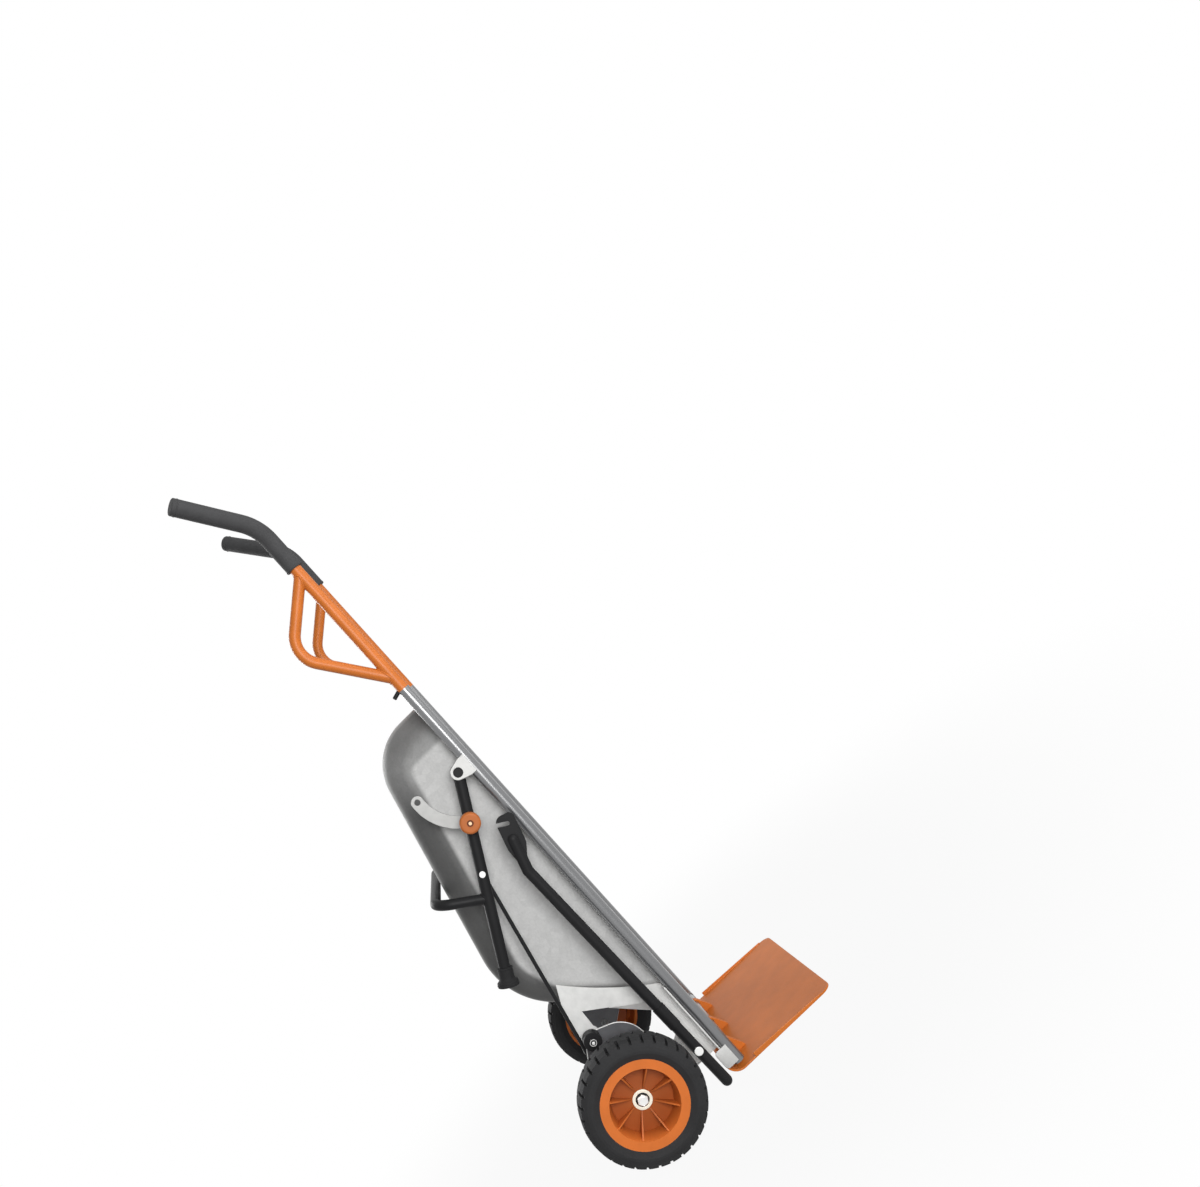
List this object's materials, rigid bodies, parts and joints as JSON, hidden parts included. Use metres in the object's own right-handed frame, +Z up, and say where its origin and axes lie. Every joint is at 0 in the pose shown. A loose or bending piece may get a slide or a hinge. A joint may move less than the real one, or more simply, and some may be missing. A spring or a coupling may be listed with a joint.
{
  "type": "convertible wheelbarrow",
  "caption": "Upright two-wheeled hand truck whose sheet tub, folding legs and linked swing axle turn it into a wheelbarrow; with bent grips, lower hand loops, side arms and a toe plate.",
  "frame": {"origin": "on the floor, midway across the wheels and midway between the toe plate's edge and the back of the wheels", "axes": "+X to the left of someone holding the grips, +Y from the load side towards the wheels, +Z up along the tubes"},
  "size_m": [0.702, 0.556, 1.6032],
  "materials": {
    "tube_silver": "smooth silver-grey powder coat, satin",
    "frame_orange": "orange powder coat, satin",
    "leg_black": "black powder coat, satin",
    "tub_galvanised": "galvanised sheet, fine spangle",
    "bracket_zinc": "zinc plated pressing",
    "swing_dark": "dark grey coat, bare cut edge",
    "bolt_zinc": "bright zinc plating",
    "axle_steel": "turned steel",
    "rubber_black": "moulded rubber, matt",
    "tyre_black": "lugged tyre rubber, matt",
    "rim_orange": "moulded orange plastic",
    "knob_orange": "moulded orange plastic",
    "bush_white": "nylon"
  },
  "bodies": {
    "frame": {"arm_pivot_bolts": "bolt_zinc", "arm_pivot_sleeves": "bolt_zinc", "arm_stop_tabs": "bracket_zinc", "axle_bracket_left": "bracket_zinc", "axle_bracket_right": "bracket_zinc", "grip_left": "rubber_black", "grip_right": "rubber_black", "handle_loop_left": "frame_orange", "handle_loop_right": "frame_orange", "handle_pegs": "leg_black", "handle_spigots": "axle_steel", "handle_tube_left": "frame_orange", "handle_tube_right": "frame_orange", "lock_quadrant_left": "bracket_zinc", "lock_quadrant_right": "bracket_zinc", "main_tube_left": "tube_silver", "main_tube_right": "tube_silver", "nose_tube": "tube_silver", "pivot_ear_left": "bracket_zinc", "pivot_ear_right": "bracket_zinc", "swing_nuts": "bolt_zinc", "swing_pivot_bolts": "bolt_zinc", "swing_spacers": "bolt_zinc", "tub": "tub_galvanised"},
    "legs": {"boot_left": "rubber_black", "boot_right": "rubber_black", "leg_crossbar": "leg_black", "leg_left": "leg_black", "leg_pivot_pins": "leg_black", "leg_right": "leg_black", "lock_seat_left": "bolt_zinc", "lock_seat_right": "bolt_zinc", "rod_bolts": "bolt_zinc"},
    "carrier": {"axle": "axle_steel", "axle_nuts": "bolt_zinc", "axle_spacers": "axle_steel", "axle_washers": "bolt_zinc", "swing_bosses": "swing_dark", "swing_plate_left": "swing_dark", "swing_plate_right": "swing_dark"},
    "link_rods": {"link_rod_left": "leg_black", "link_rod_right": "leg_black"},
    "toe": {"toe_hinge_lugs": "frame_orange", "toe_plate": "frame_orange"},
    "wheel_right": {"tyre_right": "tyre_black", "rim_right": "rim_orange", "wheel_bush_right": "bush_white"},
    "wheel_left": {"tyre_left": "tyre_black", "rim_left": "rim_orange", "wheel_bush_left": "bush_white"},
    "knob_right": {"lock_knob_right": "knob_orange", "lock_plunger_right": "bolt_zinc"},
    "knob_left": {"lock_knob_left": "knob_orange", "lock_plunger_left": "bolt_zinc"},
    "arm_right": {"arm_tube_right": "leg_black", "arm_hook_right": "leg_black"},
    "arm_left": {"arm_tube_left": "leg_black", "arm_hook_left": "leg_black"}
  },
  "joints": [
    {"name": "leg_fold", "type": "hinge", "parent": "frame", "child": "legs", "pos_m": [0, -0.007, 0.8367], "axis": [1, 0, 0], "range_deg": [0, 66]},
    {"name": "wheel_swing", "type": "hinge", "parent": "frame", "child": "carrier", "pos_m": [0, 0.1542, 0.2547], "axis": [1, 0, 0], "range_deg": [0, 87.12]},
    {"name": "rod_swing", "type": "hinge", "parent": "legs", "child": "link_rods", "pos_m": [0, 0.09338, 0.65259], "axis": [1, 0, 0], "range_deg": [-66.66, 0]},
    {"name": "toe_fold", "type": "hinge", "parent": "frame", "child": "toe", "pos_m": [0, -0.038, 0.03], "axis": [-1, 0, 0], "range_deg": [0, 90]},
    {"name": "wheel_spin_right", "type": "hinge", "parent": "carrier", "child": "wheel_right", "pos_m": [-0.309, 0.151, 0.127], "axis": [1, 0, 0], "continuous": true},
    {"name": "knob_pull_right", "type": "slide", "parent": "legs", "child": "knob_right", "axis": [-1, 0, 0], "range_m": [0, 0.01], "stiffness_N_per_m": 600},
    {"name": "arm_fold_right", "type": "hinge", "parent": "frame", "child": "arm_right", "pos_m": [-0.253, 0.009, 0.102], "axis": [1, 0, 0], "range_deg": [0, 90]},
    {"name": "wheel_spin_left", "type": "hinge", "parent": "carrier", "child": "wheel_left", "pos_m": [0.309, 0.151, 0.127], "axis": [1, 0, 0], "continuous": true},
    {"name": "knob_pull_left", "type": "slide", "parent": "legs", "child": "knob_left", "axis": [1, 0, 0], "range_m": [0, 0.01], "stiffness_N_per_m": 600},
    {"name": "arm_fold_left", "type": "hinge", "parent": "frame", "child": "arm_left", "pos_m": [0.253, 0.009, 0.102], "axis": [1, 0, 0], "range_deg": [0, 90]}
  ],
  "couplings": [
    {"joint": "wheel_swing", "follows": "leg_fold", "ratio": 1.32},
    {"joint": "rod_swing", "follows": "leg_fold", "ratio": -1.01}
  ]
}
